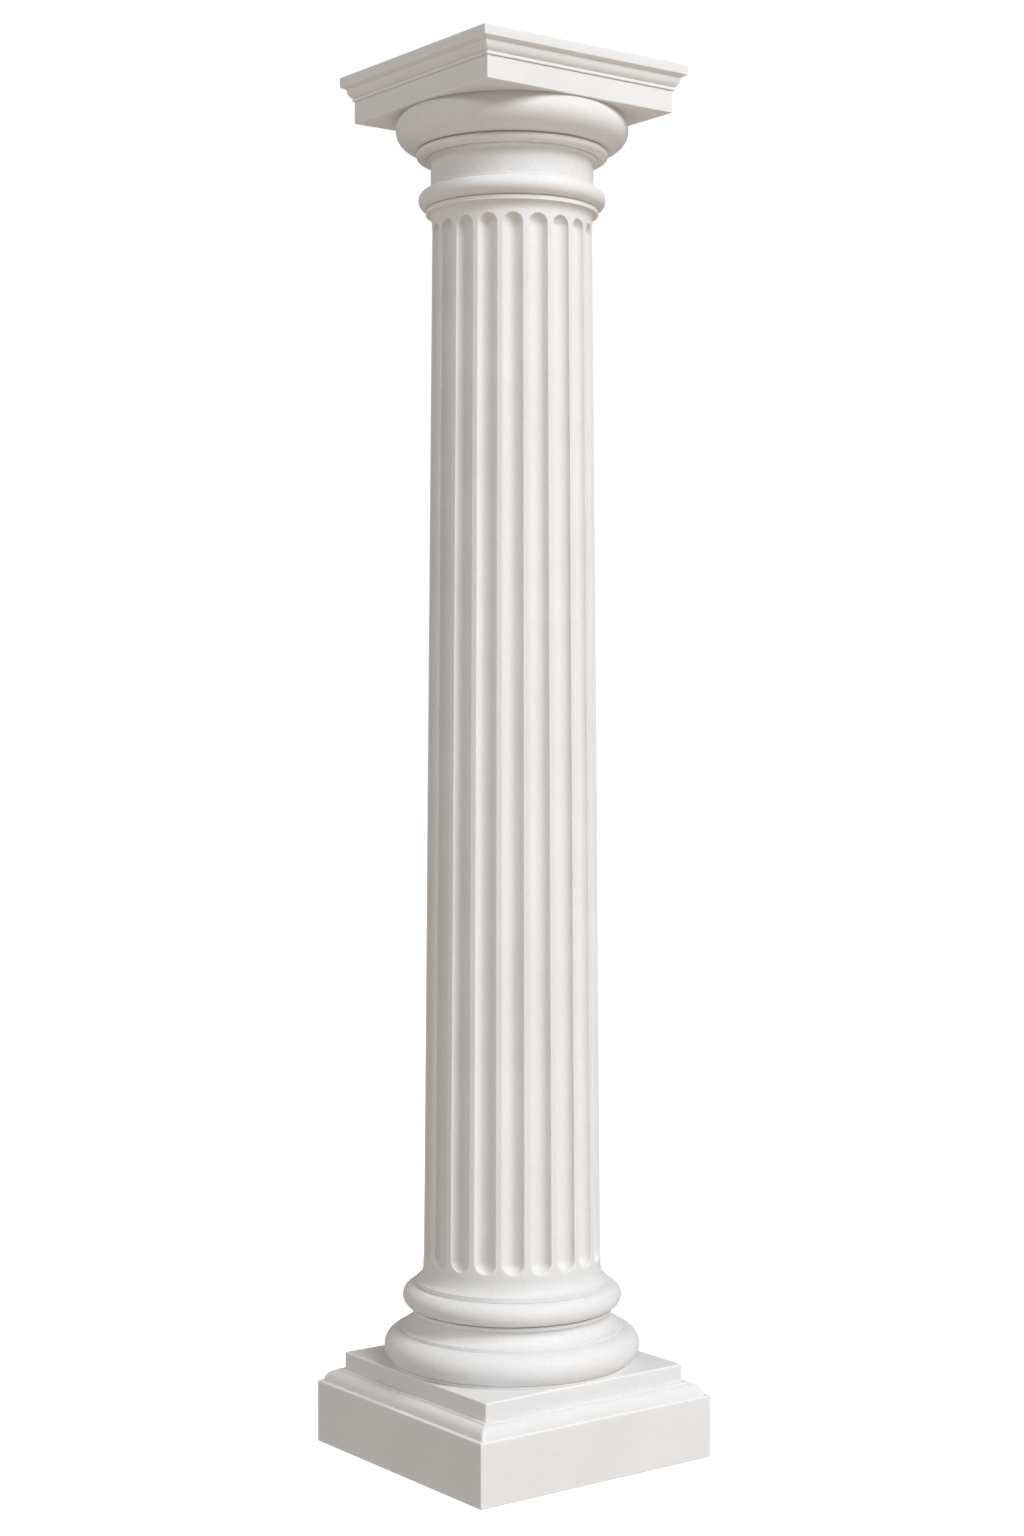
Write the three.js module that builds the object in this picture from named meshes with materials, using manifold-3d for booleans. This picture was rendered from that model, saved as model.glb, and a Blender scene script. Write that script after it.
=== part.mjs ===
// A Roman Doric column in white stone. It has a moulded square plinth, an Attic base, a shaft
// with flutes, a capital with a half-round echinus, and a moulded square abacus.
// Sizes are in millimetres, +Z is up, and the origin is the middle of the underside.

import * as THREE from 'three';
import { mergeVertices } from 'three/addons/utils/BufferGeometryUtils.js';
import Module from 'manifold-3d';

// The whole column: the shaft fills the height that the other pieces leave
const COLUMN_HEIGHT = 2400;
const JOINT_GAP = 0.3;

// Plinth, from the ground up
const PLINTH_WIDTH = 490;
const PLINTH_BLOCK_HEIGHT = 107;
const PLINTH_OVOLO_WIDTH = 474;
const PLINTH_OVOLO_HEIGHT = 19.5;
const PLINTH_FILLET_WIDTH = 438;
const PLINTH_FILLET_HEIGHT = 2;
const PLINTH_SLAB_WIDTH = 420;
const PLINTH_SLAB_HEIGHT = 30;

// Base, from the plinth up
const FOOT_RING_DIAMETER = 418;
const FOOT_RING_HEIGHT = 3.5;
const LOWER_TORUS_FOOT_DIAMETER = 414;
const LOWER_TORUS_DIAMETER = 444;
const LOWER_TORUS_HEIGHT = 51.5;
const LOWER_FILLET_DIAMETER = 385;
const LOWER_FILLET_HEIGHT = 6.5;
const SCOTIA_DIAMETER = 338;
const SCOTIA_LOWER_HEIGHT = 20;
const SCOTIA_UPPER_HEIGHT = 5.5;
const UPPER_FILLET_DIAMETER = 348;
const UPPER_FILLET_HEIGHT = 7.5;
const UPPER_TORUS_DIAMETER = 380;
const UPPER_TORUS_HEIGHT = 38;

// Shaft, from the base up
const CINCTURE_DIAMETER = 335;
const CINCTURE_HEIGHT = 8.5;
const FOOT_FLARE_HEIGHT = 26;
const SHAFT_FOOT_DIAMETER = 309;
const SHAFT_HEAD_DIAMETER = 279;
const HEAD_FLARE_HEIGHT = 16.5;
const HEAD_FILLET_DIAMETER = 300;
const HEAD_FILLET_HEIGHT = 9;
const ASTRAGAL_DIAMETER = 326;
const ASTRAGAL_HEIGHT = 32;

// Flutes: the band is the flat strip left between two of them at the foot of the shaft
const FLUTE_COUNT = 20;
const FLUTE_BAND_WIDTH = 11;
const FLUTE_DEPTH_OVER_WIDTH = 0.38;
const FLUTE_FOOT_MARGIN = 9;
const FLUTE_HEAD_MARGIN = 3.5;

// Capital, from the shaft up
const LISTEL_DIAMETER = 290;
const LISTEL_HEIGHT = 5.5;
const NECK_DIAMETER = 283;
const NECK_HEIGHT = 33.5;
const NECK_COVE_DIAMETER = 295;
const NECK_COVE_HEIGHT = 12;
const COLLAR_DIAMETER = 298;
const COLLAR_HEIGHT = 4;
const ANNULET_DIAMETER = 334;
const ANNULET_HEIGHT = 15;
const ECHINUS_FOOT_DIAMETER = 332;
const ECHINUS_DIAMETER = 405;
const ECHINUS_TOP_DIAMETER = 384;
const ECHINUS_LOWER_HEIGHT = 34.5;
const ECHINUS_UPPER_HEIGHT = 24.5;
const ECHINUS_LOWER_DEGREES = 80;
const ECHINUS_UPPER_DEGREES = 35;

// Abacus, from the capital up
const CORONA_WIDTH = 396;
const CORONA_HEIGHT = 38.5;
const ABACUS_FILLET_WIDTH = 402;
const ABACUS_FILLET_HEIGHT = 5;
const ABACUS_OVOLO_FOOT_WIDTH = 399;
const ABACUS_OVOLO_WIDTH = 417;
const ABACUS_OVOLO_HEIGHT = 16.5;
const ABACUS_OVOLO_DEGREES = 70;
const ABACUS_SPLAY_HEIGHT = 5;
const CROWN_WIDTH = 434;
const CROWN_HEIGHT = 16.5;

// Facets: a shaft bay is one flute with its band, and its three facets put one facet on each band
const TURNED_FACETS = 40;
const FACETS_PER_BAY = 3;
const ARC_STEP_DEGREES = 30;
const CUTTER_FACETS = 16;
const CUTTER_END_STEPS = 3;

// Stone
const STONE_COLOUR = '#e8e5e0';
const STONE_ROUGHNESS = 0.85;

// The lengths of a list added up
function total(...lengths) {
  return lengths.reduce((sum, length) => sum + length, 0);
}

// A point of an outline: its distance from the column's axis and its height
function at(radius, height) {
  return new THREE.Vector2(radius, height);
}

// Points along part of an ellipse in an outline, with 0 degrees outwards and 90 degrees upwards
function arc(centreRadius, centreHeight, reach, rise, fromDegrees, toDegrees) {
  const from = THREE.MathUtils.degToRad(fromDegrees);
  const to = THREE.MathUtils.degToRad(toDegrees);
  const steps = Math.max(1, Math.round(Math.abs(toDegrees - fromDegrees) / ARC_STEP_DEGREES));
  return new THREE.EllipseCurve(centreRadius, centreHeight, reach, rise, from, to, to < from).getPoints(steps);
}

// A closed body turned about +Z from an outline that starts and ends on the axis
function turned(outline, facets) {
  const geometry = new THREE.LatheGeometry(outline, facets);
  geometry.rotateX(Math.PI / 2);
  return geometry;
}

// A square body with mitred corners, from an outline of half widths that starts and ends on the axis
function mitred(outline) {
  const corners = outline.map((point) => at(point.x * Math.SQRT2, point.y));
  const geometry = new THREE.LatheGeometry(corners, 4, Math.PI / 4);
  geometry.rotateX(Math.PI / 2);
  return geometry;
}

// One piece of the column, standing with its underside at the given height
function piece(name, geometry, height) {
  const material = new THREE.MeshStandardMaterial({
    color: STONE_COLOUR,
    roughness: STONE_ROUGHNESS,
    metalness: 0,
    flatShading: true,
  });
  const mesh = new THREE.Mesh(geometry, material);
  mesh.name = name;
  mesh.position.z = height;
  return mesh;
}

// Plinth: a low block, a quarter-round moulding under a thin fillet, and a smaller slab on top
function plinthOutline() {
  const ovoloFoot = PLINTH_BLOCK_HEIGHT;
  const ovoloTop = ovoloFoot + PLINTH_OVOLO_HEIGHT;
  const slabFoot = ovoloTop + PLINTH_FILLET_HEIGHT;
  const top = slabFoot + PLINTH_SLAB_HEIGHT;
  const ovoloReach = (PLINTH_OVOLO_WIDTH - PLINTH_FILLET_WIDTH) / 2;
  return [
    at(0, 0),
    at(PLINTH_WIDTH / 2, 0),
    at(PLINTH_WIDTH / 2, ovoloFoot),
    ...arc(PLINTH_FILLET_WIDTH / 2, ovoloFoot, ovoloReach, PLINTH_OVOLO_HEIGHT, 0, 90),
    at(PLINTH_FILLET_WIDTH / 2, slabFoot),
    at(PLINTH_SLAB_WIDTH / 2, slabFoot),
    at(PLINTH_SLAB_WIDTH / 2, top),
    at(0, top),
  ];
}

// Base: two tori with a scotia between two fillets. The lower torus is a round that is cut off
// where it meets the ring at its foot, so its radius follows from its foot, width and height.
function baseOutline() {
  const torusFoot = FOOT_RING_HEIGHT;
  const torusTop = torusFoot + LOWER_TORUS_HEIGHT;
  const overhang = (LOWER_TORUS_DIAMETER - LOWER_TORUS_FOOT_DIAMETER) / 2;
  const lowerRound = overhang + LOWER_TORUS_HEIGHT - Math.sqrt(2 * overhang * LOWER_TORUS_HEIGHT);
  const lowerMiddle = torusTop - lowerRound;
  const footAngle = THREE.MathUtils.radToDeg(Math.asin((lowerMiddle - torusFoot) / lowerRound));

  const lowerFilletTop = torusTop + LOWER_FILLET_HEIGHT;
  const scotiaMiddle = lowerFilletTop + SCOTIA_LOWER_HEIGHT;
  const scotiaTop = scotiaMiddle + SCOTIA_UPPER_HEIGHT;
  const lowerReach = (LOWER_FILLET_DIAMETER - SCOTIA_DIAMETER) / 2;
  const upperReach = (UPPER_FILLET_DIAMETER - SCOTIA_DIAMETER) / 2;

  const upperFilletTop = scotiaTop + UPPER_FILLET_HEIGHT;
  const upperRound = UPPER_TORUS_HEIGHT / 2;
  return [
    at(0, 0),
    at(FOOT_RING_DIAMETER / 2, 0),
    at(FOOT_RING_DIAMETER / 2, torusFoot),
    ...arc(LOWER_TORUS_DIAMETER / 2 - lowerRound, lowerMiddle, lowerRound, lowerRound, -footAngle, 90),
    at(LOWER_FILLET_DIAMETER / 2, torusTop),
    ...arc(LOWER_FILLET_DIAMETER / 2, scotiaMiddle, lowerReach, SCOTIA_LOWER_HEIGHT, 270, 180),
    ...arc(UPPER_FILLET_DIAMETER / 2, scotiaMiddle, upperReach, SCOTIA_UPPER_HEIGHT, 180, 90),
    at(UPPER_FILLET_DIAMETER / 2, upperFilletTop),
    ...arc(UPPER_TORUS_DIAMETER / 2 - upperRound, upperFilletTop + upperRound, upperRound, upperRound, -90, 90),
    at(0, upperFilletTop + UPPER_TORUS_HEIGHT),
  ];
}

// Shaft: a flared foot on a fillet, a straight taper, and a flared head under a fillet and an astragal
function shaftOutline(height) {
  const flareTop = CINCTURE_HEIGHT + FOOT_FLARE_HEIGHT;
  const astragalFoot = height - ASTRAGAL_HEIGHT;
  const filletFoot = astragalFoot - HEAD_FILLET_HEIGHT;
  const headFlareFoot = filletFoot - HEAD_FLARE_HEIGHT;
  const footReach = (CINCTURE_DIAMETER - SHAFT_FOOT_DIAMETER) / 2;
  const headReach = (HEAD_FILLET_DIAMETER - SHAFT_HEAD_DIAMETER) / 2;
  const astragalRound = ASTRAGAL_HEIGHT / 2;
  const astragalMiddle = astragalFoot + astragalRound;
  return [
    at(0, 0),
    at(CINCTURE_DIAMETER / 2, 0),
    ...arc(CINCTURE_DIAMETER / 2, flareTop, footReach, FOOT_FLARE_HEIGHT, 270, 180),
    ...arc(HEAD_FILLET_DIAMETER / 2, headFlareFoot, headReach, HEAD_FLARE_HEIGHT, 180, 90),
    at(HEAD_FILLET_DIAMETER / 2, astragalFoot),
    ...arc(ASTRAGAL_DIAMETER / 2 - astragalRound, astragalMiddle, astragalRound, astragalRound, -90, 90),
    at(0, height),
  ];
}

// The cutter of one flute: a tapered bar with round ends that leans in with the side of the shaft.
// It cuts an arc of the flute's width and depth, both in proportion to the shaft's radius there.
function fluteCutter(height) {
  const taperFoot = CINCTURE_HEIGHT + FOOT_FLARE_HEIGHT;
  const taperTop = height - ASTRAGAL_HEIGHT - HEAD_FILLET_HEIGHT - HEAD_FLARE_HEIGHT;
  const shaftRadius = (level) => {
    const share = (level - taperFoot) / (taperTop - taperFoot);
    return THREE.MathUtils.lerp(SHAFT_FOOT_DIAMETER, SHAFT_HEAD_DIAMETER, share) / 2;
  };

  const bandAngle = FLUTE_BAND_WIDTH / (SHAFT_FOOT_DIAMETER / 2);
  const fluteAngle = (2 * Math.PI) / FLUTE_COUNT - bandAngle;
  const width = (level) => 2 * shaftRadius(level) * Math.sin(fluteAngle / 2);
  const depth = (level) => width(level) * FLUTE_DEPTH_OVER_WIDTH;
  const chordRadius = (level) => shaftRadius(level) * Math.cos(fluteAngle / 2);
  const cutterRadius = (level) => (width(level) ** 2 / 4 + depth(level) ** 2) / (2 * depth(level));
  const axisRadius = (level) => chordRadius(level) - depth(level) + cutterRadius(level);

  const foot = taperFoot + FLUTE_FOOT_MARGIN + width(taperFoot) / 2;
  const head = taperTop - FLUTE_HEAD_MARGIN - width(taperTop) / 2;
  const footRadius = cutterRadius(foot);
  const headRadius = cutterRadius(head);
  const lean = Math.atan2(axisRadius(foot) - axisRadius(head), head - foot);
  const length = Math.hypot(axisRadius(foot) - axisRadius(head), head - foot);
  const outline = [
    ...new THREE.EllipseCurve(0, 0, footRadius, footRadius, -Math.PI / 2, 0).getPoints(CUTTER_END_STEPS),
    ...new THREE.EllipseCurve(0, length, headRadius, headRadius, 0, Math.PI / 2).getPoints(CUTTER_END_STEPS),
  ];
  const geometry = turned(outline, CUTTER_FACETS);
  geometry.rotateY(-lean);
  geometry.translate(axisRadius(foot), 0, foot);
  return geometry;
}

const wasm = await Module();
wasm.setup();

// A closed geometry as a solid that can be cut
function solid(geometry) {
  const bare = geometry.clone();
  bare.deleteAttribute('normal');
  bare.deleteAttribute('uv');
  const merged = mergeVertices(bare);
  const vertProperties = new Float32Array(merged.attributes.position.array);
  const triVerts = new Uint32Array(merged.index.array);
  return new wasm.Manifold(new wasm.Mesh({ numProp: 3, vertProperties, triVerts }));
}

// A solid's surface as a geometry
function surface(body) {
  const mesh = body.getMesh();
  const geometry = new THREE.BufferGeometry();
  geometry.setAttribute('position', new THREE.BufferAttribute(mesh.vertProperties, mesh.numProp));
  geometry.setIndex(new THREE.BufferAttribute(mesh.triVerts, 1));
  geometry.computeVertexNormals();
  return geometry;
}

// The shaft with its flutes cut, the first flute facing +X, square to a side of the plinth
function flutedShaft(height) {
  let body = solid(turned(shaftOutline(height), FLUTE_COUNT * FACETS_PER_BAY));
  for (let i = 0; i < FLUTE_COUNT; i += 1) {
    const cutter = fluteCutter(height);
    cutter.rotateZ((i * 2 * Math.PI) / FLUTE_COUNT);
    body = body.subtract(solid(cutter));
  }
  return surface(body);
}

// Part of an ellipse below its widest point, for negative degrees, or above it, for positive ones.
// It turns through those degrees while it comes in by the depth and climbs by the height.
function swelling(widestRadius, widestHeight, depth, height, degrees) {
  const turn = THREE.MathUtils.degToRad(degrees);
  const reach = depth / (1 - Math.cos(turn));
  const rise = height / Math.abs(Math.sin(turn));
  return arc(widestRadius - reach, widestHeight, reach, rise, Math.min(degrees, 0), Math.max(degrees, 0));
}

// Capital: a neck over a listel, then a cove, a collar, a rounded annulet and the half-round echinus
function capitalOutline() {
  const coveFoot = LISTEL_HEIGHT + NECK_HEIGHT;
  const collarFoot = coveFoot + NECK_COVE_HEIGHT;
  const annuletFoot = collarFoot + COLLAR_HEIGHT;
  const echinusFoot = annuletFoot + ANNULET_HEIGHT;
  const echinusMiddle = echinusFoot + ECHINUS_LOWER_HEIGHT;
  const top = echinusMiddle + ECHINUS_UPPER_HEIGHT;
  const coveReach = (NECK_COVE_DIAMETER - NECK_DIAMETER) / 2;
  const annuletRound = ANNULET_HEIGHT / 2;
  const annuletMiddle = annuletFoot + annuletRound;
  const widest = ECHINUS_DIAMETER / 2;
  const lowerDepth = widest - ECHINUS_FOOT_DIAMETER / 2;
  const upperDepth = widest - ECHINUS_TOP_DIAMETER / 2;
  return [
    at(0, 0),
    at(LISTEL_DIAMETER / 2, 0),
    at(LISTEL_DIAMETER / 2, LISTEL_HEIGHT),
    at(NECK_DIAMETER / 2, LISTEL_HEIGHT),
    ...arc(NECK_COVE_DIAMETER / 2, coveFoot, coveReach, NECK_COVE_HEIGHT, 180, 90),
    at(COLLAR_DIAMETER / 2, collarFoot),
    at(COLLAR_DIAMETER / 2, annuletFoot),
    ...arc(ANNULET_DIAMETER / 2 - annuletRound, annuletMiddle, annuletRound, annuletRound, -90, 90),
    ...swelling(widest, echinusMiddle, lowerDepth, ECHINUS_LOWER_HEIGHT, -ECHINUS_LOWER_DEGREES),
    ...swelling(widest, echinusMiddle, upperDepth, ECHINUS_UPPER_HEIGHT, ECHINUS_UPPER_DEGREES).slice(1),
    at(0, top),
  ];
}

// Abacus: a square corona, a thin fillet, an ovolo and a splay under the square crown
function abacusOutline() {
  const filletTop = CORONA_HEIGHT + ABACUS_FILLET_HEIGHT;
  const ovoloTop = filletTop + ABACUS_OVOLO_HEIGHT;
  const crownFoot = ovoloTop + ABACUS_SPLAY_HEIGHT;
  const top = crownFoot + CROWN_HEIGHT;
  const widest = ABACUS_OVOLO_WIDTH / 2;
  const depth = widest - ABACUS_OVOLO_FOOT_WIDTH / 2;
  return [
    at(0, 0),
    at(CORONA_WIDTH / 2, 0),
    at(CORONA_WIDTH / 2, CORONA_HEIGHT),
    at(ABACUS_FILLET_WIDTH / 2, CORONA_HEIGHT),
    at(ABACUS_FILLET_WIDTH / 2, filletTop),
    ...swelling(widest, ovoloTop, depth, ABACUS_OVOLO_HEIGHT, -ABACUS_OVOLO_DEGREES),
    at(CROWN_WIDTH / 2, crownFoot),
    at(CROWN_WIDTH / 2, top),
    at(0, top),
  ];
}

const plinthHeight = total(
  PLINTH_BLOCK_HEIGHT, PLINTH_OVOLO_HEIGHT, PLINTH_FILLET_HEIGHT, PLINTH_SLAB_HEIGHT,
);
const baseHeight = total(
  FOOT_RING_HEIGHT, LOWER_TORUS_HEIGHT, LOWER_FILLET_HEIGHT, SCOTIA_LOWER_HEIGHT,
  SCOTIA_UPPER_HEIGHT, UPPER_FILLET_HEIGHT, UPPER_TORUS_HEIGHT,
);
const capitalHeight = total(
  LISTEL_HEIGHT, NECK_HEIGHT, NECK_COVE_HEIGHT, COLLAR_HEIGHT,
  ANNULET_HEIGHT, ECHINUS_LOWER_HEIGHT, ECHINUS_UPPER_HEIGHT,
);
const abacusHeight = total(
  CORONA_HEIGHT, ABACUS_FILLET_HEIGHT, ABACUS_OVOLO_HEIGHT, ABACUS_SPLAY_HEIGHT, CROWN_HEIGHT,
);

const baseFoot = plinthHeight + JOINT_GAP;
const shaftFoot = baseFoot + baseHeight + JOINT_GAP;
const abacusFoot = COLUMN_HEIGHT - abacusHeight;
const capitalFoot = abacusFoot - JOINT_GAP - capitalHeight;
const shaftHeight = capitalFoot - JOINT_GAP - shaftFoot;

const column = new THREE.Group();
column.name = 'column';
column.add(piece('plinth', mitred(plinthOutline()), 0));
column.add(piece('base', turned(baseOutline(), TURNED_FACETS), baseFoot));
column.add(piece('shaft', flutedShaft(shaftHeight), shaftFoot));
column.add(piece('capital', turned(capitalOutline(), TURNED_FACETS), capitalFoot));
column.add(piece('abacus', mitred(abacusOutline()), abacusFoot));

export default column;
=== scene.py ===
import math

import bmesh
import bpy
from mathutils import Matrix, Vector


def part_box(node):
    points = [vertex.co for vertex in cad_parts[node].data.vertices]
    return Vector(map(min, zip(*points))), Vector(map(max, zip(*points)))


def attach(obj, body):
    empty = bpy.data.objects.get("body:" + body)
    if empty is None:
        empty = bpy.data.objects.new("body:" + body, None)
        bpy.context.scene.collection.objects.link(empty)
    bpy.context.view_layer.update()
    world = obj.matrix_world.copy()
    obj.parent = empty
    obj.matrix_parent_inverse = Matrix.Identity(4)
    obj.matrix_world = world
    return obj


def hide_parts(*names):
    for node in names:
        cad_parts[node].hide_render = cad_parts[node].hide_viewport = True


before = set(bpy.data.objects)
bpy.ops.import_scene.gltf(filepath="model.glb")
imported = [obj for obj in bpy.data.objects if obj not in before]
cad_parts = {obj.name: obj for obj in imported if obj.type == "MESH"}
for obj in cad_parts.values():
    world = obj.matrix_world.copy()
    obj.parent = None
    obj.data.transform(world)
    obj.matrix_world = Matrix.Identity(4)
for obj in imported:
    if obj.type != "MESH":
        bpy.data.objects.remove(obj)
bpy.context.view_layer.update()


# Camera: level, at about half the column's height, and turned so that the near corner of the
# plinth stands a little left of the middle. The view is shifted down instead of tilted.
CAMERA_AZIMUTH = 53.2
CAMERA_DISTANCE = 4340
CAMERA_HEIGHT = 1263
CAMERA_LENS = 58.36
CAMERA_SENSOR = 36
CAMERA_SHIFT = -0.0286

MM = 0.001


def around(azimuth, distance, height):
    """A place seen from the axis: azimuth in degrees from -Y towards +X, lengths in millimetres."""
    turn = math.radians(azimuth)
    return Vector((distance * math.sin(turn), -distance * math.cos(turn), height)) * MM


camera = bpy.data.objects.new("camera", bpy.data.cameras.new("camera"))
camera.data.sensor_width = CAMERA_SENSOR
camera.data.lens = CAMERA_LENS
camera.data.shift_y = CAMERA_SHIFT
camera.location = around(CAMERA_AZIMUTH, CAMERA_DISTANCE, CAMERA_HEIGHT)
camera.rotation_euler = (math.radians(90), 0, math.radians(CAMERA_AZIMUTH))
bpy.context.scene.collection.objects.link(camera)
bpy.context.scene.camera = camera


# Plinth: a square block with a quarter-round moulding, a thin fillet and a smaller slab on top.
# It is cast in one piece of fine white stone, rubbed down by hand, and carries everything else.
PLINTH_BLOCK_HEIGHT = 107
PLINTH_OVOLO_WIDTH = 474
PLINTH_OVOLO_HEIGHT = 19.5
PLINTH_FILLET_WIDTH = 438
PLINTH_FILLET_HEIGHT = 2
PLINTH_SLAB_WIDTH = 420
PLINTH_ARRIS = 2.6

# The stone's tones, with a painted shade for its recesses and a pale arris tone that is both wear
# and painted highlight, and how strongly its marks, its arrises and its relief show
STONE_WHITE = (0.815, 0.812, 0.808, 1)
STONE_CREAM = (0.79, 0.782, 0.77, 1)
STONE_RECESS_PAINTED_SHADE = (0.5, 0.46, 0.42, 1)
STONE_WORN_AND_HIGHLIGHT = (0.93, 0.927, 0.92, 1)
STONE_ROUGHNESS = 0.6
STONE_SPECULAR = 0.45
MARKS_STRETCH = 0.07
WORN_AND_HIGHLIGHT_SHARE = 0.6
RELIEF_HEIGHT = 0.3
RELIEF_STRENGTH = 0.5
PLINTH_MARKS_TURN = 4.0
PLINTH_MARKS_DEPTH = 0.3
# How strong the painted shade in the sharp inner corners is
PLINTH_RECESS_PAINTED_SHADE = 0.1

# How finely the mouldings are cut, and which corners count as sharp
ARC_STEP = 6
FEWEST_ARC_STEPS = 3
SHARP_CORNER = math.radians(25)
CRISP_FOLD = math.radians(40)
FULL_FOLD = math.radians(30)
ARRIS_STEPS = 3
ARRIS_SHARE = 0.4
UPRIGHT_ARRIS_STEPS = 4
RECESS_STRIP = 2.2
STRIP = 7
SIDE_CUTS = 45
CAP_MARGIN = 12


def arc(middle, reach, rise, start, end):
    """Points along a round moulding, with 0 degrees outwards from the axis and 90 degrees up."""
    steps = max(FEWEST_ARC_STEPS, round(abs(end - start) / ARC_STEP))
    turns = [math.radians(start + (end - start) * step / steps) for step in range(steps + 1)]
    return [(middle[0] + reach * math.cos(turn), middle[1] + rise * math.sin(turn))
            for turn in turns]


def softened(points, arris):
    """An outline with its arrises rounded off and its long straights divided into strips.

    An inner corner stays sharp, between two narrow strips that carry the painted shade of the
    corner."""
    corners = [Vector(point) for point in points]
    soft = corners[:1]
    for before, corner, after in zip(corners, corners[1:], corners[2:]):
        arriving, leaving = corner - before, after - corner
        if arriving.angle(leaving) < SHARP_CORNER:
            soft.append(corner)
            continue
        inner = arriving.cross(leaving) < 0
        cut = min(RECESS_STRIP if inner else arris,
                  ARRIS_SHARE * arriving.length, ARRIS_SHARE * leaving.length)
        start = corner - cut * arriving.normalized()
        end = corner + cut * leaving.normalized()
        if inner:
            soft += [start, corner, end]
            continue
        for step in range(ARRIS_STEPS + 1):
            along = step / ARRIS_STEPS
            soft.append(start.lerp(corner, along).lerp(corner.lerp(end, along), along))
    soft.append(corners[-1])
    outline = soft[:1]
    for lower, upper in zip(soft, soft[1:]):
        strips = math.ceil((upper - lower).length / STRIP)
        outline += [lower.lerp(upper, strip / strips) for strip in range(1, strips + 1)]
    return outline


def squared(points, foot, arris):
    """A square piece that rises along its outline of half widths, its upright corners softened."""
    outline = softened(points, arris)
    reach, height = outline[0]
    bm = bmesh.new()
    bmesh.ops.create_grid(bm, x_segments=1, y_segments=1, size=reach * MM)
    bmesh.ops.translate(bm, vec=(0, 0, foot + height * MM), verts=bm.verts)
    bmesh.ops.bevel(bm, geom=bm.verts[:], offset=arris * MM, affect="VERTICES",
                    segments=UPRIGHT_ARRIS_STEPS, profile=0.5, material=-1)
    sides = [edge for edge in bm.edges if edge.calc_length() > reach * MM]
    bmesh.ops.subdivide_edges(bm, edges=sides, cuts=SIDE_CUTS)
    underside = bm.faces[:][0]
    rim = underside.edges[:]
    for level in outline[1:]:
        risen = bmesh.ops.extrude_edge_only(bm, edges=rim)["geom"]
        rim = [item for item in risen if isinstance(item, bmesh.types.BMEdge)]
        corners = [item for item in risen if isinstance(item, bmesh.types.BMVert)]
        bmesh.ops.scale(bm, vec=(level.x / reach, level.x / reach, 1), verts=corners)
        bmesh.ops.translate(bm, vec=(0, 0, (level.y - height) * MM), verts=corners)
        reach, height = level
    cap_ends(bm)
    return bm


def cap_ends(bm):
    """Close the open top and bottom of a piece, with every face turned outwards."""
    bmesh.ops.holes_fill(bm, edges=[edge for edge in bm.edges if edge.is_boundary])
    bmesh.ops.recalc_face_normals(bm, faces=bm.faces)


def mark_folds(bm):
    """Note on each vertex how the surface folds there: above 0 on an arris, below 0 in a recess."""
    fold = bm.verts.layers.float.new("fold")
    for corner in bm.verts:
        angles = [edge.calc_face_angle_signed(0) for edge in corner.link_edges if edge.is_manifold]
        steepest = max(angles, key=abs, default=0)
        corner[fold] = max(-1, min(1, steepest / FULL_FOLD))


def stand_piece(bm, name, material):
    """The finished mesh as an object, smooth but for its inner corners, its flat faces flat."""
    mark_folds(bm)
    for face in bm.faces:
        face.smooth = True
    for edge in bm.edges:
        edge.smooth = edge.calc_face_angle(0) < CRISP_FOLD
    mesh = bpy.data.meshes.new(name)
    bm.to_mesh(mesh)
    bm.free()
    mesh.materials.append(material)
    piece = bpy.data.objects.new(name, mesh)
    bpy.context.scene.collection.objects.link(piece)
    piece.modifiers.new("even shading", "WEIGHTED_NORMAL").keep_sharp = True
    return piece


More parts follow.
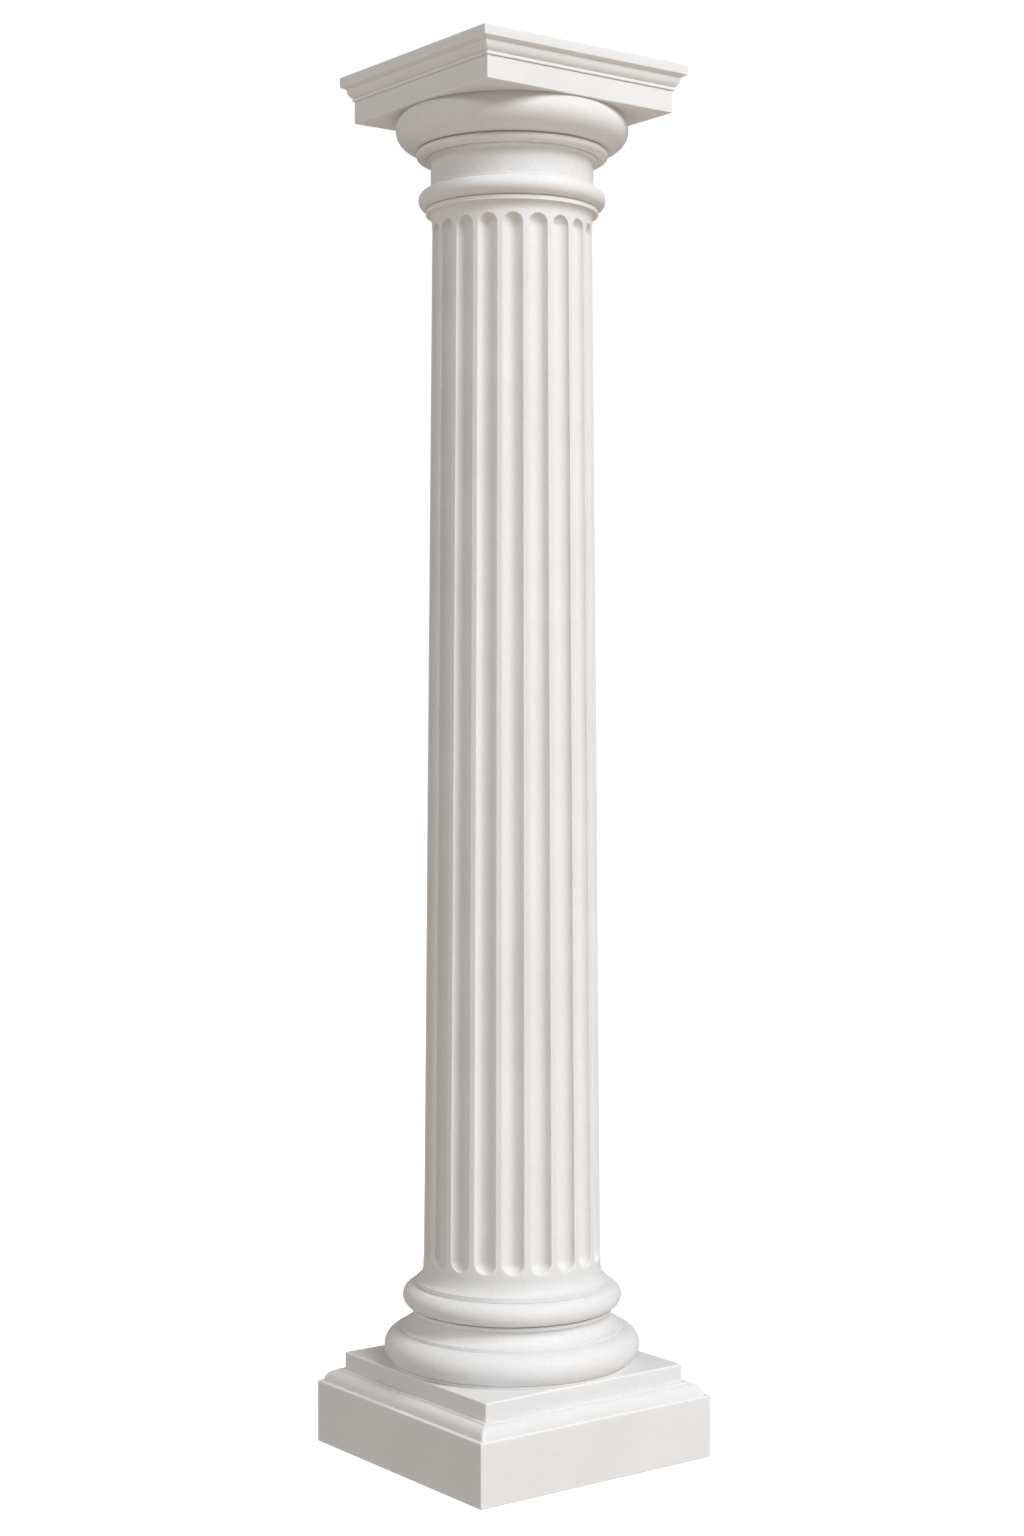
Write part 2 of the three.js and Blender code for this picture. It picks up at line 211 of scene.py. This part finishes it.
def rubbed_stone(name, marks_turn, marks_depth, recess_painted_shade):
    """Fine white cast stone, rubbed down by hand: a cloudy tone, a fine grain and slanting marks.

    marks_turn is how far the marks turn about the axis for each metre that they fall, in radians,
    marks_depth how deep they are, as a share of the deepest, and the last argument how strongly
    the sharp inner corners are darkened with a brown painted shade."""
    material = bpy.data.materials.new(name)
    material.use_nodes = True
    nodes = material.node_tree.nodes
    link = material.node_tree.links.new
    stone = nodes["Principled BSDF"]
    stone.inputs["Specular IOR Level"].default_value = STONE_SPECULAR
    place = nodes.new("ShaderNodeTexCoord").outputs["Object"]

    def pattern(where, scale, detail, roughness):
        texture = nodes.new("ShaderNodeTexNoise")
        texture.inputs["Scale"].default_value = scale
        texture.inputs["Detail"].default_value = detail
        texture.inputs["Roughness"].default_value = roughness
        link(where, texture.inputs["Vector"])
        return texture.outputs["Fac"]

    def spread(value, low, high, to_low=0.0, to_high=1.0):
        ranged = nodes.new("ShaderNodeMapRange")
        ranged.interpolation_type = "SMOOTHSTEP"
        ranged.inputs["From Min"].default_value = low
        ranged.inputs["From Max"].default_value = high
        ranged.inputs["To Min"].default_value = to_low
        ranged.inputs["To Max"].default_value = to_high
        link(value, ranged.inputs["Value"])
        return ranged.outputs["Result"]

    def combined(operation, first, second):
        maths = nodes.new("ShaderNodeMath")
        maths.operation = operation
        for socket, value in zip(maths.inputs, (first, second)):
            if isinstance(value, (int, float)):
                socket.default_value = value
            else:
                link(value, socket)
        return maths.outputs["Value"]

    def blended(first, second, share, mode="MIX"):
        mix = nodes.new("ShaderNodeMix")
        mix.data_type = "RGBA"
        mix.blend_type = mode
        sockets = (mix.inputs["A"], mix.inputs["B"], mix.inputs["Factor"])
        for socket, value in zip(sockets, (first, second, share)):
            if isinstance(value, (int, float, tuple)):
                socket.default_value = value
            else:
                link(value, socket)
        return mix.outputs["Result"]

    # Rubbing marks: a noise drawn out along lines that wind slowly round the axis as they fall
    parted = nodes.new("ShaderNodeSeparateXYZ")
    link(place, parted.inputs["Vector"])
    wound = nodes.new("ShaderNodeVectorRotate")
    wound.rotation_type = "Z_AXIS"
    link(place, wound.inputs["Vector"])
    link(combined("MULTIPLY", parted.outputs["Z"], marks_turn), wound.inputs["Angle"])
    drawn = nodes.new("ShaderNodeMapping")
    drawn.inputs["Scale"].default_value = (1, 1, MARKS_STRETCH)
    link(wound.outputs["Vector"], drawn.inputs["Vector"])
    marks = pattern(drawn.outputs["Vector"], scale=290, detail=3, roughness=0.6)

    clouds = pattern(place, scale=7, detail=4, roughness=0.55)
    patches = pattern(place, scale=38, detail=3, roughness=0.5)
    grain = pattern(place, scale=620, detail=2, roughness=0.6)
    pits = spread(pattern(place, scale=260, detail=1, roughness=0.5), 0.69, 0.76)

    # Colour: white and cream in soft clouds, a little darker in the marks and the pits, a painted
    # shade in the recesses, and paler at the arrises, partly for wear and partly as a painted
    # highlight
    colour = blended(STONE_WHITE, STONE_CREAM, spread(clouds, 0.35, 0.68))
    colour = blended(colour, STONE_CREAM, spread(patches, 0.5, 0.75, 0, 0.35))
    shade = spread(marks, 0.32, 0.68, 1 - 0.045 * marks_depth, 1 + 0.015 * marks_depth)
    shade = combined("ADD", shade, spread(grain, 0.3, 0.7, -0.012, 0.012))
    shade = combined("SUBTRACT", shade, combined("MULTIPLY", pits, 0.1))
    grey = nodes.new("ShaderNodeCombineColor")
    for socket in grey.inputs:
        link(shade, socket)
    colour = blended(colour, grey.outputs["Color"], 1.0, "MULTIPLY")
    fold = nodes.new("ShaderNodeAttribute")
    fold.attribute_name = "fold"
    # Painted shade: the sharp inner corners are darkened towards a brown grey
    recess = spread(combined("MULTIPLY", fold.outputs["Fac"], -1.0), 0.1, 0.9, 0, recess_painted_shade)
    # Paler arrises: partly wear, partly a painted highlight
    worn_and_highlight = spread(fold.outputs["Fac"], 0.1, 0.9, 0, WORN_AND_HIGHLIGHT_SHARE)
    colour = blended(blended(colour, STONE_RECESS_PAINTED_SHADE, recess), STONE_WORN_AND_HIGHLIGHT, worn_and_highlight)
    link(colour, stone.inputs["Base Color"])

    # Roughness: a little different in each patch and grain
    rough = combined("ADD", spread(patches, 0.3, 0.7, -0.05, 0.05),
                     spread(grain, 0.3, 0.7, -0.04, 0.04))
    link(combined("ADD", rough, STONE_ROUGHNESS), stone.inputs["Roughness"])

    # Relief: the marks, the grain and the patches stand up, and the pits are sunk
    relief = combined("ADD", combined("MULTIPLY", marks, 1.2 * marks_depth),
                      combined("MULTIPLY", grain, 0.2))
    relief = combined("ADD", relief, combined("MULTIPLY", patches, 0.8))
    relief = combined("SUBTRACT", relief, combined("MULTIPLY", pits, 0.5))
    bump = nodes.new("ShaderNodeBump")
    bump.inputs["Strength"].default_value = RELIEF_STRENGTH
    bump.inputs["Distance"].default_value = RELIEF_HEIGHT * MM
    link(relief, bump.inputs["Height"])
    link(bump.outputs["Normal"], stone.inputs["Normal"])
    return material


low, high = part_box("plinth")
ovolo_top = PLINTH_BLOCK_HEIGHT + PLINTH_OVOLO_HEIGHT
slab_foot = ovolo_top + PLINTH_FILLET_HEIGHT
plinth_half = high[0] / MM
plinth_top = (high[2] - low[2]) / MM
plinth_outline = [
    (plinth_half - CAP_MARGIN, 0),
    (plinth_half, 0),
    (plinth_half, PLINTH_BLOCK_HEIGHT),
    *arc((PLINTH_FILLET_WIDTH / 2, PLINTH_BLOCK_HEIGHT),
         (PLINTH_OVOLO_WIDTH - PLINTH_FILLET_WIDTH) / 2, PLINTH_OVOLO_HEIGHT, 0, 90),
    (PLINTH_FILLET_WIDTH / 2, slab_foot),
    (PLINTH_SLAB_WIDTH / 2, slab_foot),
    (PLINTH_SLAB_WIDTH / 2, plinth_top),
    (PLINTH_SLAB_WIDTH / 2 - CAP_MARGIN, plinth_top),
]
plinth = stand_piece(squared(plinth_outline, low[2], PLINTH_ARRIS), "plinth_stone",
                     rubbed_stone("plinth_cast_stone", PLINTH_MARKS_TURN, PLINTH_MARKS_DEPTH,
                                  PLINTH_RECESS_PAINTED_SHADE))
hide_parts("plinth")
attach(plinth, "root")


# Base: an Attic base, with a hollow scotia and two fillets between a large and a smaller torus.
# It is turned in one piece of the same stone and stands on the plinth with a thin ring at its foot.
FOOT_RING_DIAMETER = 418
FOOT_RING_HEIGHT = 3.5
LOWER_TORUS_FOOT_DIAMETER = 414
LOWER_TORUS_DIAMETER = 444
LOWER_TORUS_HEIGHT = 51.5
LOWER_FILLET_DIAMETER = 385
LOWER_FILLET_HEIGHT = 6.5
SCOTIA_DIAMETER = 338
SCOTIA_LOWER_HEIGHT = 20
SCOTIA_UPPER_HEIGHT = 5.5
UPPER_FILLET_DIAMETER = 348
UPPER_FILLET_HEIGHT = 7.5
UPPER_TORUS_DIAMETER = 380
UPPER_TORUS_HEIGHT = 38
BASE_ARRIS = 0.8
BASE_MARKS_TURN = 5.0
BASE_MARKS_DEPTH = 0.9
# How strong the painted shade in the sharp inner corners is
BASE_RECESS_PAINTED_SHADE = 0.6

QUIRK_HEIGHT = 1.6
TURNED_STEPS = 320


def turned(points, foot, arris):
    """A round piece from its outline, turned about the column's axis, with its ends left open."""
    bm = bmesh.new()
    corners = [bm.verts.new((reach * MM, 0, foot + height * MM))
               for reach, height in softened(points, arris)]
    for lower, upper in zip(corners, corners[1:]):
        bm.edges.new((lower, upper))
    bmesh.ops.spin(bm, geom=bm.verts[:] + bm.edges[:], axis=(0, 0, 1), angle=math.tau,
                   steps=TURNED_STEPS, use_merge=True)
    return bm


low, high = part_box("base")
torus_top = FOOT_RING_HEIGHT + LOWER_TORUS_HEIGHT
overhang = (LOWER_TORUS_DIAMETER - LOWER_TORUS_FOOT_DIAMETER) / 2
lower_round = overhang + LOWER_TORUS_HEIGHT - math.sqrt(2 * overhang * LOWER_TORUS_HEIGHT)
lower_middle = torus_top - lower_round
foot_angle = math.degrees(math.asin((lower_middle - FOOT_RING_HEIGHT) / lower_round))
scotia_middle = torus_top + LOWER_FILLET_HEIGHT + SCOTIA_LOWER_HEIGHT
upper_fillet_top = scotia_middle + SCOTIA_UPPER_HEIGHT + UPPER_FILLET_HEIGHT
upper_round = UPPER_TORUS_HEIGHT / 2
base_top = (high[2] - low[2]) / MM
base_outline = [
    (FOOT_RING_DIAMETER / 2 - CAP_MARGIN, 0),
    (FOOT_RING_DIAMETER / 2, 0),
    (FOOT_RING_DIAMETER / 2, FOOT_RING_HEIGHT),
    *arc((LOWER_TORUS_DIAMETER / 2 - lower_round, lower_middle), lower_round, lower_round,
         -foot_angle, 90),
    (LOWER_FILLET_DIAMETER / 2, torus_top),
    *arc((LOWER_FILLET_DIAMETER / 2, scotia_middle), (LOWER_FILLET_DIAMETER - SCOTIA_DIAMETER) / 2,
         SCOTIA_LOWER_HEIGHT, 270, 180),
    *arc((UPPER_FILLET_DIAMETER / 2, scotia_middle), (UPPER_FILLET_DIAMETER - SCOTIA_DIAMETER) / 2,
         SCOTIA_UPPER_HEIGHT, 180, 90)[1:],
    (UPPER_FILLET_DIAMETER / 2, upper_fillet_top - QUIRK_HEIGHT),
    (UPPER_TORUS_DIAMETER / 2 - upper_round, upper_fillet_top - QUIRK_HEIGHT),
    *arc((UPPER_TORUS_DIAMETER / 2 - upper_round, upper_fillet_top + upper_round), upper_round,
         upper_round, -90, 90),
    (UPPER_TORUS_DIAMETER / 2 - upper_round - CAP_MARGIN, base_top),
]
bm = turned(base_outline, low[2], BASE_ARRIS)
cap_ends(bm)
base = stand_piece(bm, "base_stone",
                   rubbed_stone("base_cast_stone", BASE_MARKS_TURN, BASE_MARKS_DEPTH,
                                BASE_RECESS_PAINTED_SHADE))
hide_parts("base")
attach(base, "root")


# Shaft: one tall turned drum that tapers upwards, flared out to a fillet at its foot and to a
# fillet and an astragal at its head, with twenty round-ended flutes and flat bands between them.
CINCTURE_DIAMETER = 335
CINCTURE_HEIGHT = 8.5
FOOT_FLARE_HEIGHT = 26
SHAFT_FOOT_DIAMETER = 309
SHAFT_HEAD_DIAMETER = 279
HEAD_FLARE_HEIGHT = 16.5
HEAD_FILLET_DIAMETER = 300
HEAD_FILLET_HEIGHT = 9
ASTRAGAL_DIAMETER = 326
ASTRAGAL_HEIGHT = 32
FLUTE_COUNT = 20
FLUTE_BAND_WIDTH = 11
FLUTE_DEPTH_OVER_WIDTH = 0.38
FLUTE_FOOT_MARGIN = 9
FLUTE_HEAD_MARGIN = 3.5
FLUTE_RINGS = 12
FLUTE_BOTTOM = 0.3
FLUTE_CUTS = 40
FLUTE_ARRIS = 0.8
FLUTE_ARRIS_STEPS = 3
SHAFT_ARRIS = 0.8
SHAFT_MARKS_TURN = 2.8
SHAFT_MARKS_DEPTH = 0.6
# How strong the painted shade in the sharp inner corners is
SHAFT_RECESS_PAINTED_SHADE = 0.5

SEAM_GAP = 0.05


def flute_bay(taper_foot, taper_top):
    """One flute and half the band on each side of it, cut in a flat sheet, then bent to the shaft.

    The sheet is as wide as a bay at the shaft's mean radius. Rings of faces step down into the
    flute from its rim, and a border reaches out to the edges of the bay."""
    mean = (SHAFT_FOOT_DIAMETER + SHAFT_HEAD_DIAMETER) / 4
    flute_angle = math.tau / FLUTE_COUNT - FLUTE_BAND_WIDTH / (SHAFT_FOOT_DIAMETER / 2)
    half_width = mean * flute_angle / 2
    sagitta = mean * (1 - math.cos(flute_angle / 2))
    depth = 2 * half_width * FLUTE_DEPTH_OVER_WIDTH + sagitta
    section = (half_width ** 2 + depth ** 2) / (2 * depth)
    foot_scale = SHAFT_FOOT_DIAMETER / 2 / mean
    head_scale = SHAFT_HEAD_DIAMETER / 2 / mean
    foot_middle = taper_foot + FLUTE_FOOT_MARGIN + half_width * foot_scale
    head_middle = taper_top - FLUTE_HEAD_MARGIN - half_width * head_scale
    half_steps = TURNED_STEPS // FLUTE_COUNT

    bm = bmesh.new()
    sheet_turns = [math.pi * step / half_steps for step in range(half_steps + 1)]
    head_rim = [(half_width * math.cos(turn), head_middle + half_width * math.sin(turn))
                for turn in sheet_turns]
    foot_rim = [(-x, foot_middle + head_middle - y) for x, y in head_rim]
    rim = [bm.verts.new((x, y, 0)) for x, y in head_rim + foot_rim]
    bottom = bm.faces.new(rim)
    rim_edges = bottom.edges[:]

    # The border, its corners at the corners of the bay and its ends divided evenly
    border = bmesh.ops.extrude_edge_only(bm, edges=rim_edges)
    edge_of_bay = [item for item in border["geom"] if isinstance(item, bmesh.types.BMVert)]
    for corner in edge_of_bay:
        above = corner.co.y > (foot_middle + head_middle) / 2
        middle, scale, end = ((head_middle, head_scale, taper_top) if above
                              else (foot_middle, foot_scale, taper_foot))
        turn = math.atan2(abs(corner.co.y - middle), corner.co.x)
        corner.co.x = mean * math.pi / FLUTE_COUNT * (1 - 2 * turn / math.pi)
        corner.co.y = middle + (end - middle) / scale

    # The rings, on a circular section from the rim down, with a narrow flat left at the bottom
    steepest = math.asin(half_width / section)
    reach, sunk = half_width, 0
    for ring in range(1, FLUTE_RINGS + 1):
        turn = steepest * (1 - ring / (FLUTE_RINGS + FLUTE_BOTTOM))
        next_reach = section * math.sin(turn)
        next_sunk = section * math.cos(turn) - section + depth
        bmesh.ops.inset_individual(bm, faces=[bottom], thickness=reach - next_reach,
                                   depth=sunk - next_sunk, use_even_offset=True)
        reach, sunk = next_reach, next_sunk
    bmesh.ops.bevel(bm, geom=rim_edges, offset=FLUTE_ARRIS, affect="EDGES",
                    segments=FLUTE_ARRIS_STEPS, profile=0.5, material=-1, clamp_overlap=False)
    flute_length = head_middle - foot_middle
    long = [edge for edge in bm.edges if edge.calc_length() > flute_length / 2]
    bmesh.ops.subdivide_edges(bm, edges=long, cuts=FLUTE_CUTS, use_grid_fill=True)

    # Bending: across the sheet becomes round the axis, and widths and depths follow the taper
    narrowing = SHAFT_HEAD_DIAMETER - SHAFT_FOOT_DIAMETER
    for corner in bm.verts:
        across, height, sunk = corner.co
        if height > head_middle:
            height = head_middle + (height - head_middle) * head_scale
        elif height < foot_middle:
            height = foot_middle + (height - foot_middle) * foot_scale
        share = (height - taper_foot) / (taper_top - taper_foot)
        radius = (SHAFT_FOOT_DIAMETER + share * narrowing) / 2
        turn = across / mean
        outwards = radius * math.cos(turn) + sunk * radius / mean
        corner.co = (outwards, radius * math.sin(turn), height)
    return bm


low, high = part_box("shaft")
shaft_top = (high[2] - low[2]) / MM
flare_top = CINCTURE_HEIGHT + FOOT_FLARE_HEIGHT
astragal_foot = shaft_top - ASTRAGAL_HEIGHT
head_flare_foot = astragal_foot - HEAD_FILLET_HEIGHT - HEAD_FLARE_HEIGHT
astragal_round = ASTRAGAL_HEIGHT / 2
shaft_foot_outline = [
    (CINCTURE_DIAMETER / 2 - CAP_MARGIN, 0),
    (CINCTURE_DIAMETER / 2, 0),
    *arc((CINCTURE_DIAMETER / 2, flare_top), (CINCTURE_DIAMETER - SHAFT_FOOT_DIAMETER) / 2,
         FOOT_FLARE_HEIGHT, 270, 180),
]
shaft_head_outline = [
    *arc((HEAD_FILLET_DIAMETER / 2, head_flare_foot),
         (HEAD_FILLET_DIAMETER - SHAFT_HEAD_DIAMETER) / 2, HEAD_FLARE_HEIGHT, 180, 90),
    (HEAD_FILLET_DIAMETER / 2, astragal_foot - QUIRK_HEIGHT),
    (ASTRAGAL_DIAMETER / 2 - astragal_round, astragal_foot - QUIRK_HEIGHT),
    *arc((ASTRAGAL_DIAMETER / 2 - astragal_round, astragal_foot + astragal_round), astragal_round,
         astragal_round, -90, 90),
    (ASTRAGAL_DIAMETER / 2 - astragal_round - CAP_MARGIN, shaft_top),
]

# One bay is turned round the axis to make them all, and the foot and the head are joined to them
bm = flute_bay(flare_top, head_flare_foot)
bmesh.ops.scale(bm, vec=(MM, MM, MM), verts=bm.verts)
bmesh.ops.translate(bm, vec=(0, 0, low[2]), verts=bm.verts)
bmesh.ops.spin(bm, geom=bm.verts[:] + bm.edges[:] + bm.faces[:], axis=(0, 0, 1),
               angle=math.tau * (FLUTE_COUNT - 1) / FLUTE_COUNT, steps=FLUTE_COUNT - 1,
               use_duplicate=True)
for outline in (shaft_foot_outline, shaft_head_outline):
    end = turned(outline, low[2], SHAFT_ARRIS)
    loose = bpy.data.meshes.new("shaft_end")
    end.to_mesh(loose)
    end.free()
    bm.from_mesh(loose)
    bpy.data.meshes.remove(loose)
bmesh.ops.remove_doubles(bm, verts=bm.verts, dist=SEAM_GAP * MM)
cap_ends(bm)
shaft = stand_piece(bm, "shaft_stone",
                    rubbed_stone("shaft_cast_stone", SHAFT_MARKS_TURN, SHAFT_MARKS_DEPTH,
                                 SHAFT_RECESS_PAINTED_SHADE))
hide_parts("shaft")
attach(shaft, "root")


# Capital: a plain neck over a thin listel, then a cove, a collar, a rounded annulet and the round
# echinus that carries the abacus. It is turned in one piece of the same stone.
LISTEL_DIAMETER = 290
LISTEL_HEIGHT = 5.5
NECK_DIAMETER = 283
NECK_HEIGHT = 33.5
NECK_COVE_DIAMETER = 295
NECK_COVE_HEIGHT = 12
COLLAR_DIAMETER = 298
COLLAR_HEIGHT = 4
ANNULET_DIAMETER = 334
ANNULET_HEIGHT = 15
ANNULET_QUIRK = 0.5
ECHINUS_FOOT_DIAMETER = 332
ECHINUS_DIAMETER = 405
ECHINUS_TOP_DIAMETER = 384
ECHINUS_LOWER_HEIGHT = 34.5
ECHINUS_LOWER_DEGREES = 80
ECHINUS_UPPER_DEGREES = 35
CAPITAL_ARRIS = 0.8
CAPITAL_MARKS_TURN = 5.0
CAPITAL_MARKS_DEPTH = 1.0
# How strong the painted shade in the sharp inner corners is
CAPITAL_RECESS_PAINTED_SHADE = 0.35


def swelling(widest, middle, depth, height, degrees):
    """Part of an ellipse: below its widest point for negative degrees, above it for positive ones.

    It turns through those degrees while it comes in by the depth and climbs by the height."""
    turn = math.radians(degrees)
    reach = depth / (1 - math.cos(turn))
    rise = height / abs(math.sin(turn))
    return arc((widest - reach, middle), reach, rise, min(degrees, 0), max(degrees, 0))


low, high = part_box("capital")
capital_top = (high[2] - low[2]) / MM
cove_foot = LISTEL_HEIGHT + NECK_HEIGHT
collar_foot = cove_foot + NECK_COVE_HEIGHT
annulet_foot = collar_foot + COLLAR_HEIGHT
echinus_foot = annulet_foot + ANNULET_HEIGHT
echinus_middle = echinus_foot + ECHINUS_LOWER_HEIGHT
annulet_round = (ANNULET_HEIGHT - ANNULET_QUIRK) / 2
annulet_inside = ANNULET_DIAMETER / 2 - annulet_round
widest = ECHINUS_DIAMETER / 2
capital_outline = [
    (LISTEL_DIAMETER / 2 - CAP_MARGIN, 0),
    (LISTEL_DIAMETER / 2, 0),
    (LISTEL_DIAMETER / 2, LISTEL_HEIGHT),
    (NECK_DIAMETER / 2, LISTEL_HEIGHT),
    *arc((NECK_COVE_DIAMETER / 2, cove_foot), (NECK_COVE_DIAMETER - NECK_DIAMETER) / 2,
         NECK_COVE_HEIGHT, 180, 90),
    (COLLAR_DIAMETER / 2, collar_foot),
    (COLLAR_DIAMETER / 2, annulet_foot),
    *arc((annulet_inside, annulet_foot + annulet_round), annulet_round, annulet_round, -90, 90),
    (annulet_inside, echinus_foot),
    *swelling(widest, echinus_middle, widest - ECHINUS_FOOT_DIAMETER / 2, ECHINUS_LOWER_HEIGHT,
              -ECHINUS_LOWER_DEGREES),
    *swelling(widest, echinus_middle, widest - ECHINUS_TOP_DIAMETER / 2,
              capital_top - echinus_middle, ECHINUS_UPPER_DEGREES)[1:],
]
bm = turned(capital_outline, low[2], CAPITAL_ARRIS)
cap_ends(bm)
capital = stand_piece(bm, "capital_stone",
                      rubbed_stone("capital_cast_stone", CAPITAL_MARKS_TURN, CAPITAL_MARKS_DEPTH,
                                   CAPITAL_RECESS_PAINTED_SHADE))
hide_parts("capital")
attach(capital, "root")


# Abacus: the square top block, a plain corona under a thin fillet, an ovolo, a splay and the crown.
# It is cast in one piece, lies on the echinus, and its flat top takes what the column carries.
CORONA_WIDTH = 396
CORONA_HEIGHT = 38.5
ABACUS_FILLET_WIDTH = 402
ABACUS_FILLET_HEIGHT = 5
ABACUS_OVOLO_FOOT_WIDTH = 399
ABACUS_OVOLO_WIDTH = 417
ABACUS_OVOLO_HEIGHT = 16.5
ABACUS_OVOLO_DEGREES = 70
ABACUS_SPLAY_HEIGHT = 5
ABACUS_ARRIS = 1.3
ABACUS_MARKS_TURN = 4.0
ABACUS_MARKS_DEPTH = 0.3
# How strong the painted shade in the sharp inner corners is
ABACUS_RECESS_PAINTED_SHADE = 0.45

low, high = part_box("abacus")
abacus_half = high[0] / MM
abacus_top = (high[2] - low[2]) / MM
fillet_top = CORONA_HEIGHT + ABACUS_FILLET_HEIGHT
abacus_ovolo_top = fillet_top + ABACUS_OVOLO_HEIGHT
crown_foot = abacus_ovolo_top + ABACUS_SPLAY_HEIGHT
widest = ABACUS_OVOLO_WIDTH / 2
abacus_outline = [
    (CORONA_WIDTH / 2 - CAP_MARGIN, 0),
    (CORONA_WIDTH / 2, 0),
    (CORONA_WIDTH / 2, CORONA_HEIGHT),
    (ABACUS_FILLET_WIDTH / 2, CORONA_HEIGHT),
    (ABACUS_FILLET_WIDTH / 2, fillet_top),
    *swelling(widest, abacus_ovolo_top, widest - ABACUS_OVOLO_FOOT_WIDTH / 2, ABACUS_OVOLO_HEIGHT,
              -ABACUS_OVOLO_DEGREES),
    (abacus_half, crown_foot),
    (abacus_half, abacus_top),
    (abacus_half - CAP_MARGIN, abacus_top),
]
abacus = stand_piece(squared(abacus_outline, low[2], ABACUS_ARRIS), "abacus_stone",
                     rubbed_stone("abacus_cast_stone", ABACUS_MARKS_TURN, ABACUS_MARKS_DEPTH,
                                  ABACUS_RECESS_PAINTED_SHADE))
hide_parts("abacus")
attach(abacus, "root")


# Studio: a plain pale floor under a white backdrop, a large soft light on the right, a weak one
# low on the left, and the warm light of the room. Floor and backdrop are only seen: what they
# would throw on the stone comes from the room's light and the bounce light under the floor.
LIGHT_DISTANCE = 24000
LIGHT_AIM_HEIGHT = 1300
LAMP_COLOUR = (0.92, 0.955, 1.0)
BOUNCE_COLOUR = (1.0, 0.89, 0.79)
KEY_AZIMUTH = CAMERA_AZIMUTH + 45
KEY_RISE = 38
KEY_SIZE = (10000, 12500)
KEY_POWER = 5100
FILL_AZIMUTH = CAMERA_AZIMUTH - 60
FILL_RISE = 28
FILL_SIZE = (6000, 6000)
FILL_POWER = 1050
BOUNCE_AZIMUTH = CAMERA_AZIMUTH + 35
BOUNCE_RISE = -50
BOUNCE_SIZE = (9000, 9000)
BOUNCE_POWER = 650
LIGHT_FROM_ABOVE = (0.325, 0.301, 0.273, 1)
LIGHT_FROM_BELOW = (0.49, 0.437, 0.396, 1)
FLOOR_RADIUS = 30000
FLOOR_WHITE = (0.7, 0.7, 0.7, 1)
FLOOR_GLOW = 0.81
BACKDROP_BLACK = (0, 0, 0, 1)
BACKDROP_GLOW = 1.0
MATT = 0.9
DOWNWARDS = -0.8
LEVEL = 0.0


def soft_light(name, azimuth, rise, size, power, colour=LAMP_COLOUR):
    """A rectangular soft box that faces the column from the given side and angle above it."""
    lamp = bpy.data.lights.new(name, "AREA")
    lamp.shape = "RECTANGLE"
    lamp.size, lamp.size_y = (side * MM for side in size)
    lamp.energy = power
    lamp.color = colour
    light = bpy.data.objects.new(name, lamp)
    rise = math.radians(rise)
    towards = around(azimuth, LIGHT_DISTANCE * math.cos(rise), LIGHT_DISTANCE * math.sin(rise))
    light.location = Vector((0, 0, LIGHT_AIM_HEIGHT * MM)) + towards
    light.rotation_euler = towards.to_track_quat("Z", "Y").to_euler()
    bpy.context.scene.collection.objects.link(light)


def plain_surface(name, colour, glow):
    """A matt surface that glows with a white light of its own, so that it is pale all over."""
    material = bpy.data.materials.new(name)
    material.use_nodes = True
    surface = material.node_tree.nodes["Principled BSDF"]
    surface.inputs["Base Color"].default_value = colour
    surface.inputs["Roughness"].default_value = MATT
    surface.inputs["Emission Color"].default_value = (1, 1, 1, 1)
    surface.inputs["Emission Strength"].default_value = glow
    return material


def staged(name, bm, material):
    """A part of the studio, seen by the camera but neither lighting nor shading the column."""
    mesh = bpy.data.meshes.new(name)
    bm.to_mesh(mesh)
    bm.free()
    mesh.materials.append(material)
    thing = bpy.data.objects.new(name, mesh)
    thing.visible_diffuse = False
    thing.visible_glossy = False
    thing.visible_shadow = False
    bpy.context.scene.collection.objects.link(thing)


bm = bmesh.new()
bmesh.ops.create_circle(bm, cap_ends=True, segments=96, radius=FLOOR_RADIUS * MM)
staged("floor", bm, plain_surface("floor_white", FLOOR_WHITE, FLOOR_GLOW))

bm = bmesh.new()
bmesh.ops.create_uvsphere(bm, u_segments=64, v_segments=32, radius=FLOOR_RADIUS * MM)
staged("backdrop", bm, plain_surface("backdrop_white", BACKDROP_BLACK, BACKDROP_GLOW))

soft_light("key_light", KEY_AZIMUTH, KEY_RISE, KEY_SIZE, KEY_POWER)
soft_light("fill_light", FILL_AZIMUTH, FILL_RISE, FILL_SIZE, FILL_POWER)
soft_light("floor_bounce", BOUNCE_AZIMUTH, BOUNCE_RISE, BOUNCE_SIZE, BOUNCE_POWER, BOUNCE_COLOUR)

# The room's light: one tone from below, blended into another that comes from level upwards
room = bpy.data.worlds.new("room")
room.use_nodes = True
nodes = room.node_tree.nodes
link = room.node_tree.links.new
upwards = nodes.new("ShaderNodeSeparateXYZ")
link(nodes.new("ShaderNodeTexCoord").outputs["Generated"], upwards.inputs["Vector"])
above = nodes.new("ShaderNodeMapRange")
above.inputs["From Min"].default_value = DOWNWARDS
above.inputs["From Max"].default_value = LEVEL
link(upwards.outputs["Z"], above.inputs["Value"])
room_light = nodes.new("ShaderNodeMix")
room_light.data_type = "RGBA"
room_light.inputs["A"].default_value = LIGHT_FROM_BELOW
room_light.inputs["B"].default_value = LIGHT_FROM_ABOVE
link(above.outputs["Result"], room_light.inputs["Factor"])
link(room_light.outputs["Result"], nodes["Background"].inputs["Color"])
bpy.context.scene.world = room
bpy.context.scene.view_settings.view_transform = "Standard"
